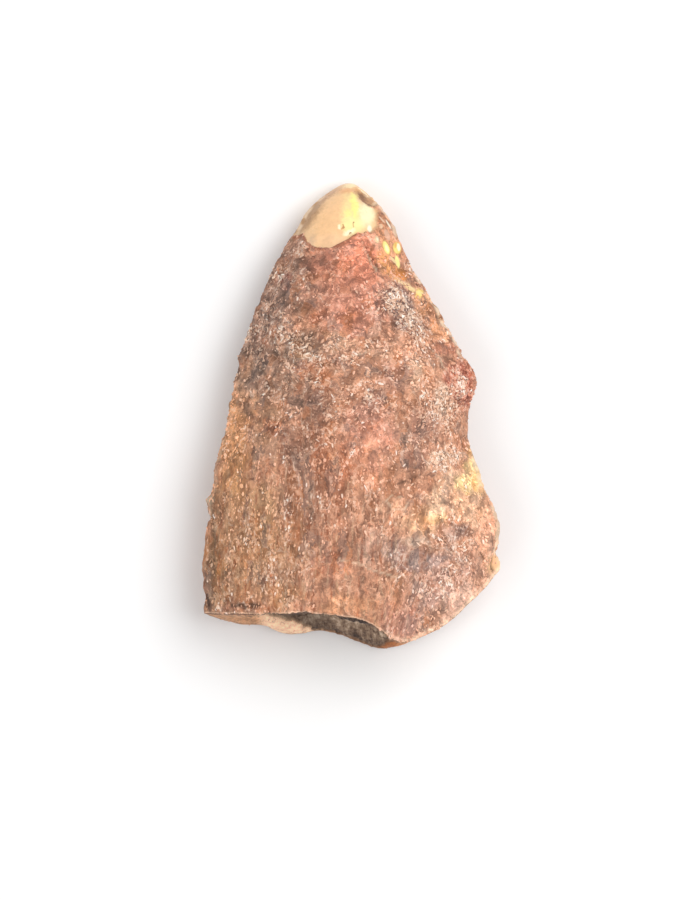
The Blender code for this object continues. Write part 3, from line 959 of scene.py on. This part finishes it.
BEAD_MARKS = [  # the beads, with their shade and their glints
    (1.9, 3.55, 0.21, 0.46, -20, "d08c50", 0.6),
    (1.9, 3.55, 0.16, 0.39, -20, "fff39a", 1.0),
    (1.93, 3.6, 0.08, 0.22, -20, "fffcc4", 0.9),
    (2.48, 3.55, 0.26, 0.38, -8, "d8924e", 0.6),
    (2.48, 3.55, 0.21, 0.33, -8, "ffe98c", 1.0),
    (2.56, 3.5, 0.1, 0.22, -8, "fffadc", 0.9),
    (2.4, 3.42, 0.07, 0.16, 10, "f4b860", 0.8),
    (2.5, 4.3, 0.12, 0.36, -12, "fff3a0", 1.0),
    (2.28, 4.22, 0.07, 0.28, -42, "fbdca6", 0.9),
    (1.4, 3.12, 0.12, 0.2, -15, "f8dcae", 0.9),
    (1.42, 3.1, 0.05, 0.1, -15, "fff6d8", 0.9),
    (1.95, 2.85, 0.14, 0.34, -20, "f0c4aa", 0.6),
    (1.66, 2.0, 0.05, 0.27, -42, "f6d2b4", 0.8),
    (2.02, 2.25, 0.05, 0.3, -30, "fff2dc", 0.9),
    (0.97, 2.45, 0.1, 0.28, -15, "fffbe0", 0.6),
    (1.25, 2.2, 0.11, 0.22, -12, "fff9c4", 0.9),
    (1.62, 2.38, 0.1, 0.14, 0, "f3cba6", 0.9),
    (3.7, 5.98, 0.14, 0.2, -30, "ffe890", 0.95),
]
SOFT, CRISP = (1.2, 0.4), (1.15, 0.75)  # where the rim of an oval begins and where it is full


def marked(finish, place, colour, marks, share, edge=SOFT):
    """Ovals laid over a colour one after another."""
    for across, depth, half_width, half_height, turn, mark, strength in marks:
        inputs = {
            "Vector": place,
            "Location": (across, TIP - depth, 0),
            "Rotation": (0, 0, math.radians(-turn)),
            "Scale": (half_width, half_height, 1),
        }
        distance = finish.vector("LENGTH", finish.add("ShaderNodeMapping", {"vector_type": "TEXTURE"}, inputs))
        colour = finish.mix(distance.rise(*edge) * strength * share, colour, paint(mark))
    return colour


print("marks:", len(BARE_MARKS + FRESH_MARKS + SMOOTH_MARKS + BEAD_MARKS))

# %% Stain and mottle the crust
WARM, COOL, RUST = paint("b8693e"), paint("8f7d74"), paint("a25c3c")
DARK_FIBRE, PALE_FIBRE = paint("a9603e"), paint("dcb490")


def stained_crust(finish):
    """The stain, mottled warm and cool, with rusty streaks, and with long fibres low down."""
    above, low = finish.above, finish.low
    mottle = finish.noise(finish.place, 0.85, 5, 0.7)
    colour = finish.mix(mottle.rise(0.5, 0.7) * 0.45, finish.stain, WARM)
    colour = finish.mix(mottle.rise(0.48, 0.3) * 0.3, colour, COOL)
    colour = finish.mix(finish.streaks.rise(0.52, 0.75) * 0.4, colour, RUST)
    wavy = stirred_by(finish, finish.place, 0.7, 0.5)
    fibres = finish.noise(finish.vector("MULTIPLY", wavy, (5.0, 0.6, 3.0)), 1.0, 3, 0.7)
    colour = finish.mix(above * (0.15 + low) * fibres.rise(0.53, 0.66) * 0.6, colour, DARK_FIBRE)
    colour = finish.mix(above * (0.1 + low) * fibres.rise(0.45, 0.34) * 0.5, colour, PALE_FIBRE)
    return marked(finish, finish.flat, colour, FRESH_MARKS, above)


colour = stained_crust(enamel)
print("nodes with the stained crust:", len(enamel.tree.nodes))

# %% [markdown]
# Inside the crust every grain has a brightness of its own. The brightest turn to crystal, the darkest are gaps, and
# between them the stain shows. That is what makes it look like sugar and not like paint.

# %% Lay the sugar over the stain
PALE, WHITE, GAP_AND_HOLLOW_SHADE = paint("fbd3b2"), paint("fff4e6"), paint("6a4c40")
BROWN_FACET, GREY_FACET = paint("b8703f"), paint("8d7a72")
FACET = 1.9  # cells per millimetre
ELSEWHERE = (31, 17, 5)  # another part of a noise


def winding(finish, place, scale, width, few):
    """Short thin lines that wind about: where a noise passes its middle, and a second noise lets them show."""
    line = abs(finish.noise(place, scale, 1, 0.5, 0.6) - 0.5).rise(width, 0.2 * width)
    return line * finish.noise(place, 1.3 * scale, 2, 0.6).rise(few, few + 0.08)


def sugared(finish, colour):
    """The grains of the crust, the gaps between them and the crystals among them."""
    place, bits, sugar, rough, crest = finish.place, finish.bits, finish.sugar, finish.rough, finish.crest

    # larger facets, some brown and some grey, with seams between them
    crusted = finish.vector("MULTIPLY", finish.swirled, (1.0, 0.7, 1.0))
    facets = finish.channels(finish.cells(crusted, FACET, "Color"))
    seam = finish.cells(crusted, FACET, feature="DISTANCE_TO_EDGE").rise(0.09, 0.0)
    colour = finish.mix(0.4 * facets[1].rise(0.7, 1.0), colour, BROWN_FACET)
    colour = finish.mix(0.4 * facets[1].rise(0.3, 0.0), colour, GREY_FACET)

    # brightness of each grain and patch, from the finest sugar up to whole patches, with painted light on the raised
    # grains
    rich = (0.15 + 0.6 * finish.noise(place, 0.8, 3, 0.7).rise(0.42, 0.62) + 0.6 * rough.rise(0.1, 1.0)).held()
    shade = 0.47 + (0.98 + 0.76 * rich) * sugar.rise(0.34, 0.8) + 0.2 * (bits[0] - 0.5)
    shade = shade + 0.35 * (finish.streaks - 0.5) + 0.6 * (finish.noise(place, 1.0, 3, 0.65) - 0.5)
    shade = shade + 0.22 * (facets[0] - 0.5) + 0.16 * crest
    colour = finish.vector("SCALE", colour, scale=shade.maths("MAXIMUM", shade, 0.45))

    # dark gaps, then pale crystals with a painted highlight on the raised grains, then painted shade in the hollows
    seams = winding(finish, finish.vector("ADD", place, ELSEWHERE), 1.9, 0.04, 0.56)
    gap = (sugar + 0.2 * (bits[2] - 0.5)).rise(0.38, 0.3)
    gaps = (0.22 + 0.65 * rough.rise(0.6, 1.5)) * gap + 0.35 * seams + 0.25 * seam * facets[2].rise(0.4, 0.2)
    colour = finish.mix(gaps.held(), colour, GAP_AND_HOLLOW_SHADE)
    crystal = finish.mix(0.35, finish.vector("SCALE", finish.stain, scale=1.5), PALE)
    # the whitest crystals are partly pale crystal and partly a painted glint
    crystal = finish.mix((0.9 * rough + 0.5 * (bits[0] - 0.5)).held(), crystal, WHITE)
    shards = winding(finish, finish.vector("MULTIPLY", place, finish.drawn_out), 2.4, 0.035, 0.54)
    pale = rich * (1.1 * finish.speck + 0.4 * crest.rise(0.5, 1.2) + 0.9 * shards)
    pale = pale + 0.45 * seam * facets[2].rise(0.65, 0.8)
    colour = finish.mix(pale.held(), colour, crystal)
    # painted shade: the hollows of the relief are darkened
    return finish.mix(0.4 * crest.rise(-0.25, -0.9), colour, GAP_AND_HOLLOW_SHADE)


colour = sugared(enamel, colour)
print("nodes with the sugar:", len(enamel.tree.nodes))

# %% Mark the crust, and wear its edge above the broken end, brightened as a painted highlight
CRACK, WORN_EDGE_HIGHLIGHT = paint("4f3629"), paint("ffd8b8")


def worn_crust(finish, colour):
    """Smooth patches, cracks and beads, and a bevel that is wider on the right: worn pale, and brightened as a painted
    highlight.
    """
    above, past_break, grit = finish.above, finish.past_break, finish.noise(finish.place, 2.2, 2)
    colour = marked(finish, finish.flat, colour, SMOOTH_MARKS, above)
    colour = finish.mix(0.75 * finish.cracked, colour, CRACK)
    seen_from_above = finish.vector("MULTIPLY", finish.place, (1, 1, 0))
    colour = marked(finish, seen_from_above, colour, BEAD_MARKS, above, CRISP)
    on_right = finish.across.rise(1.5, 2.8)
    bevel = past_break.rise(-0.32, -0.06) * above * grit.rise(0.3, 0.5) * on_right
    bevel = bevel + past_break.rise(-0.14, -0.04) * above * (1 - on_right) * 0.6
    # the worn edge is scaled about 1.3 times brighter, partly worn dentine and partly a painted highlight
    light = 1.3 + 2.6 * (finish.sugar - 0.5) + 0.6 * (finish.bits[0] - 0.5)
    return finish.mix(0.7 * bevel, colour, finish.vector("SCALE", WORN_EDGE_HIGHLIGHT[:3], scale=light))


colour = worn_crust(enamel, colour)
print("nodes with the worn edge:", len(enamel.tree.nodes))

# %% [markdown]
# At the tip the crust has come off. What shows is smooth enamel, cream with a yellow middle, and its edge is torn: a
# noise is added to the depth inside the bare patch before the edge is drawn. On the right the edge is softer.

# %% Bare the tip
GLAZE, REDDISH_EDGE_AND_SHADE, SCRATCH_AND_HIGHLIGHT = paint("f4c896"), paint("b06a4a"), paint("ffe4c4")


def bare_tip(finish, colour):
    """The smooth enamel laid over the crust, and the share of it at each place."""
    place, across = finish.place, finish.across
    glaze = marked(finish, stirred_by(finish, finish.flat, 3.0, 0.25, flat=True), GLAZE, BARE_MARKS, finish.above)
    glaze = finish.vector("SCALE", glaze, scale=0.75 + 0.5 * finish.noise(place, 2.0, 5, 0.7))
    torn = finish.bare + 0.2 * (finish.noise(place, 3.5, 3) - 0.5)
    softer = 0.12 * across.rise(0.8, 1.2)
    smooth = torn.rise(-0.02 - softer, 0.04 + softer)
    # a reddish band outside the torn edge, stronger on the left: partly the crust's colour, partly painted shade under
    # the ledge
    colour = finish.mix(torn.rise(-0.25, -0.02) * (0.2 + 0.4 * across.rise(1.2, 0.8)), colour, REDDISH_EDGE_AND_SHADE)
    colour = finish.mix(smooth, colour, glaze)
    # pale scratches, with the painted highlights on the ridge under the tip and along the outline
    return finish.mix(0.75 * finish.scarred, colour, SCRATCH_AND_HIGHLIGHT), smooth


colour, smooth = bare_tip(enamel, colour)
print("nodes with the bare tip:", len(enamel.tree.nodes))

# %% [markdown]
# In the broken end a thin wall of dentine goes round the stone that filled the root. On the left a flake of it shows
# its inner side. The stone is fibrous, so its noise is read in places that are narrow across and lean a little.

# %% Show the dentine and the stone
DENTINE, FLAKE, CORNER, LEFT_END = paint("dca67e"), paint("f8cca8"), paint("b06c40"), paint("b07f5c")
DARK_SPOT, PAINTED_CREVICE_SHADE, PAINTED_LIP_SHADOW, PAINTED_STONE_SHADOW = paint("7c583f"), paint("5a4232"), paint("6a4632"), paint("4a382c")
STONE = [(0.1, "44322a"), (0.4, "8a6f5b"), (0.6, "ae927a"), (0.9, "f2d7bd")]
LEAN, STRAND = math.radians(-14), (0.24, 0.6, 1.3)


def broken_end(finish):
    """The wall of dentine and the stone within it, with painted shade in the seam between them, under the upper lip
    and over the stone's left end.
    """
    place, across, past_break, stone = finish.place, finish.across, finish.past_break, finish.stone
    wall = finish.mix(across.rise(-5.1, -4.5) * across.rise(-1.2, -1.9), DENTINE, FLAKE)
    wall = finish.mix(across.rise(1.2, 1.7) * across.rise(3.2, 2.2) * past_break.rise(0.03, 0.15), wall, CORNER)
    wall = finish.mix(across.rise(-4.9, -5.3) * 0.7, wall, LEFT_END)
    wall = finish.vector("SCALE", wall, scale=3.2 * finish.noise(place, 3.0, 5, 0.85) - 0.4)
    dark_spots = (finish.noise(place, 4.5, 4, 0.8) + 0.13 * past_break.rise(0.6, 0.1)).rise(0.56, 0.66)
    wall = finish.mix(0.75 * dark_spots, wall, DARK_SPOT)
    # painted shade: the seam where the stone meets the wall is darkened
    wall = finish.mix(stone * (1 - stone.rise(0.3, 1.0)), wall, PAINTED_CREVICE_SHADE)
    # painted shadow: a dark band just inside the break, under the crust's upper lip
    lip_shadow = finish.upper_lip * past_break.rise(0.0, 0.03) * past_break.rise(0.2, 0.1)
    wall = finish.mix(0.8 * (lip_shadow * (1 - across.rise(1.6, 2.2))), wall, PAINTED_LIP_SHADOW)

    leaning = {"Vector": place, "Rotation": (0, LEAN, 0), "Scale": STRAND}
    strands = finish.noise(finish.add("ShaderNodeMapping", {"vector_type": "TEXTURE"}, leaning), 1.0, 4, 0.7, 0.4)
    grit = finish.noise(place, 3.0, 5, 0.8, 0.5) + 1.6 * (strands - 0.5) + 0.9 * (finish.noise(place, 0.7, 3) - 0.5)
    # the raised grit is painted a little lighter, a painted highlight
    grit = grit + 0.12 * (finish.bits[1] - 0.5) + 0.1 * finish.crest + 0.3 * past_break.rise(0.2, 1.3) - 0.17
    stops = [(position, paint(code)) for position, code in STONE]
    filling = finish.add("ShaderNodeValToRGB", {"stops": stops}, {"Fac": grit})
    # painted shadow: the stone darkens towards its left end, as if shaded by the lip
    filling = finish.mix(0.5 * across.rise(-0.6, -1.7), filling, PAINTED_STONE_SHADOW)
    return finish.mix(stone, wall, filling)


colour = enamel.mix(enamel.past_break.rise(-0.03, 0.03), colour, broken_end(enamel))
print("nodes with the broken end:", len(enamel.tree.nodes))

# %% Plug the enamel in
RELIEF = 0.05 * MM  # the height of the finest sugar, which is only a bump

glossy = smooth * (1 - enamel.past_break.rise(-0.05, 0.05))
height = 2.2 * enamel.sugar + 0.4 * enamel.bits[0] + 0.8 * enamel.noise(enamel.place, 9.0, 3, 0.7)
bump_inputs = {"Strength": 0.8, "Distance": RELIEF, "Height": (1 - 0.93 * glossy) * height}
for name, value in (
    ("Base Color", colour),
    ("Roughness", (0.68 - 0.25 * enamel.speck - 0.36 * glossy).held()),
    ("Normal", enamel.add("ShaderNodeBump", {}, bump_inputs, "Normal")),
    ("Specular IOR Level", 0.4),
):
    enamel.plug(enamel.shader.inputs[name], value)
print("nodes in all:", len(enamel.tree.nodes))

# %% [markdown]
# The loose grains take the stain of the crust that they lie on, and their own tint decides how far they are from it:
# dark sand at one end, clear pale crystal at the other.


# %% Build the grains' finish
def grain_finish(name, stops, clear):
    """A finish for loose grains. The stops give each tint a colour, and the clearer it is, the less stain it takes."""
    finish = Finish(name)
    tint = finish.measure("tint")
    stain = finish.vector("SCALE", finish.measure("stain", "Color"), scale=0.85 + 0.9 * tint)
    own = finish.add("ShaderNodeValToRGB", {"stops": [(at, paint(code)) for at, code in stops]}, {"Fac": tint})
    colour = finish.mix(finish.measure("rough").rise(0.3, 1.3) * 0.5 + clear, stain, own)
    finish.plug(finish.shader.inputs["Base Color"], colour)
    finish.plug(finish.shader.inputs["Roughness"], 0.55 - 0.25 * tint)
    return finish.material


# %% [markdown]
# ## Step 10: put the pieces together
#
# The crystals stand where the crust is rough, and most of all in a few clusters. They stay off the tip, off the
# face that the tooth rests on, and off the outermost edges, so that the dressed tooth stays inside its solid's box. At
# the end every mesh goes from millimetres to metres.

# %% Where the crust is rough
CLUSTERS = [  # across, below the tip, half width, half height, turn, strength
    (2.1, 6.4, 0.9, 0.9, 0, 0.9),
    (3.1, 7.4, 1.0, 1.7, -40, 1.1),
    (-0.9, 9.1, 2.3, 0.8, -8, 0.6),
    (-3.2, 8.6, 1.2, 1.0, 0, 0.35),
    (-4.6, 8.0, 1.0, 1.6, 20, 0.35),
    (3.6, 9.4, 1.0, 1.0, 0, 0.7),
    (0.6, 12.0, 1.2, 1.4, 20, 0.3),
    (4.8, 12.4, 1.3, 1.6, 10, 0.95),
    (4.9, 14.9, 1.2, 0.7, -15, 1.3),
    (5.8, 10.8, 0.8, 1.4, 0, 0.8),
    (-3.8, 18.2, 0.8, 1.4, 0, 0.35),
    (-4.3, 20.8, 1.0, 1.3, 0, 0.4),
    (5.9, 19.0, 1.2, 1.2, 0, 0.45),
    (5.0, 21.0, 1.8, 0.9, -30, 0.7),
    (-4.0, 5.3, 0.6, 1.3, 25, 0.5),
    (-6.5, 9.6, 0.5, 1.5, 15, 0.5),
]
STRIP = (1.9, 3.0, 0.75, 1.7, -22)  # the oval beside the tip that has few grains
CLEAR = 0.16  # grains stay this far from the faces of the solid's box

rough = 0.2 + 0.7 * rise(-0.15, 0.5, cloud(0.8, 2, (3, 5, 8)))
for *shape, strength in CLUSTERS:
    rough += 1.5 * up * strength * rise(1.3, 0.3, reach(spot, *shape))
rough *= fine * (0.4 + 0.9 * rise(0.1, 0.7, veins))
rough *= 1 - 0.85 * up * rise(1.2, 0.9, reach(spot, *STRIP))
within_box = rise(CLEAR - 0.02, CLEAR + 0.1, np.minimum(carved - LOW, HIGH - carved).min(axis=1))
rough *= (0.4 + 0.6 * up) * (1 - np.clip(12 * bead, 0, 1)) * crust * (1 - resting) * within_box
swing = 1.6 - 1.1 * low_down * (1 - 0.8 * rise(1.0, 4.5, spot[:, 0]))  # low down, grains lie along the tooth
note(skin, "rough", rough)
note(skin, "swing", swing)
print("mean roughness:", rough.mean().round(2), "and swing:", swing.mean().round(2))

# %% Make the crown and its grains
crown = piece_of("crown", skin, enamel.material)
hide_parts("tooth")

# the whitest tints are partly pale crystal and partly a painted glint
PALE_STOPS = [(0.0, "c08e70"), (0.3, "e2ae8c"), (0.7, "f4cdae"), (1.0, "ffeedd")]
SAND_STOPS = [(0.0, "5a463c"), (0.3, "9a7a6a"), (0.6, "d8aa8e"), (1.0, "fbdcc2")]
CLEAR_STOPS = [(0.0, "d8ac90"), (0.5, "f6d6bc"), (1.0, "fff8ee")]
KINDS = {  # name: what ASKED names, in its order, then the colours and how clear they are
    "crystals": (26.0, 1.0, (0.04, 0.03, 0.02), (0.17, 0.07, 0.05), 4, PALE_STOPS, 0.3),
    "flakes": (8.0, 1.0, (0.06, 0.05, 0.03), (0.16, 0.13, 0.06), 6, PALE_STOPS, 0.3),
    "shards": (20.0, 2.0, (0.05, 0.035, 0.03), (0.2, 0.08, 0.06), 12, CLEAR_STOPS, 0.7),
    "sand": (60.0, 1.0, (0.03, 0.025, 0.02), (0.11, 0.06, 0.05), 9, SAND_STOPS, 0.35),
}
pieces = [crown]
for name, (*asked, stops, clear) in KINDS.items():
    material = grain_finish(name, stops, clear)
    pieces.append(piece_of(name, scattered(skin.copy(), grain_tree(material), dict(zip(ASKED, asked))), material))
for piece in pieces:
    piece.data.transform(Matrix.Scale(MM, 4))
    piece.data.update()
    print(piece.name, sum(len(face.vertices) - 2 for face in piece.data.polygons), "triangles")

# %% [markdown]
# ## Step 11: floor, light and camera
#
# A small bright thing on white is lit softly. One large lamp to the right and above models the ridges, a weak one
# fills the left, and a white world keeps the shadow thin. The camera looks down, from almost straight above the
# tooth and a little towards its broken end, through a long lens that keeps the outline true.

# %% The floor
FLOOR = 0.6  # half its width, in metres
BELOW = 0.00002  # it lies this far under the tooth, in metres


def floor():
    """A pale matt square under the tooth."""
    finish = Finish("pale floor")
    finish.plug(finish.shader.inputs["Base Color"], paint("fbfbfb"))
    finish.plug(finish.shader.inputs["Roughness"], 0.9)
    bm = bmesh.new()
    bmesh.ops.create_grid(bm, x_segments=2, y_segments=2, size=FLOOR)
    mesh = bpy.data.meshes.new("floor")
    bm.to_mesh(mesh)
    bm.free()
    mesh.materials.append(finish.material)
    made = bpy.data.objects.new("floor", mesh)
    bpy.context.scene.collection.objects.link(made)
    made.location.z = LOW[2] * MM - BELOW
    return made


print("the floor is at", round(floor().location.z, 5), "m")

# %% The lights
AIM = Vector((-0.05, -1.85, 3.0)) * MM  # what the lamps and the camera look at
LAMPS = (("key", 0.44, 0.2, 115, 58), ("fill", 0.15, 0.2, 300, 50))  # name, power, size, azimuth, elevation
LAMP_DISTANCE = 0.25
SKY = 0.5  # how bright the world is


def looking(made, place, target):
    """The object put at a place and turned to look at a target."""
    bpy.context.scene.collection.objects.link(made)
    made.location = place
    made.rotation_euler = (place - target).to_track_quat("Z", "Y").to_euler()
    return made


def lamp(name, power, size, azimuth, elevation):
    """A square soft lamp. The azimuth goes from the broken end round by the right."""
    light = bpy.data.lights.new(name, "AREA")
    light.energy, light.size = power, size
    turn, lift = math.radians(azimuth), math.radians(elevation)
    back = Vector((math.sin(turn) * math.cos(lift), -math.cos(turn) * math.cos(lift), math.sin(lift)))
    return looking(bpy.data.objects.new(name, light), AIM + back * LAMP_DISTANCE, AIM)


for settings in LAMPS:
    print("lamp:", lamp(*settings).name)

world = bpy.data.worlds.new("studio")
bpy.context.scene.world = world
world.use_nodes = True
world.node_tree.nodes["Background"].inputs["Color"].default_value = (1, 1, 1, 1)
world.node_tree.nodes["Background"].inputs["Strength"].default_value = SKY
bpy.context.scene.view_settings.view_transform = "Standard"

# %% The camera
PIXELS_PER_MM = 18.6
FRAME_HEIGHT = 900  # in pixels
LENS, SENSOR = 400.0, 36.0
NEAREST, FARTHEST = 0.005, 5.0  # in metres
ELEVATION = math.radians(89.5)

view = bpy.data.cameras.new("camera")
view.lens, view.sensor_width, view.clip_start, view.clip_end = LENS, SENSOR, NEAREST, FARTHEST
distance = FRAME_HEIGHT / PIXELS_PER_MM * LENS / SENSOR * MM
back = Vector((0, -math.cos(ELEVATION), math.sin(ELEVATION)))
bpy.context.scene.camera = looking(bpy.data.objects.new("camera", view), AIM + back * distance, AIM)
print("camera is", round(distance, 3), "m away")

# %% [markdown]
# ## Step 12: the size, and the end
#
# The dressed tooth stays inside the box of its solid: the skin is clipped to it, and the grains are kept back from its
# faces.
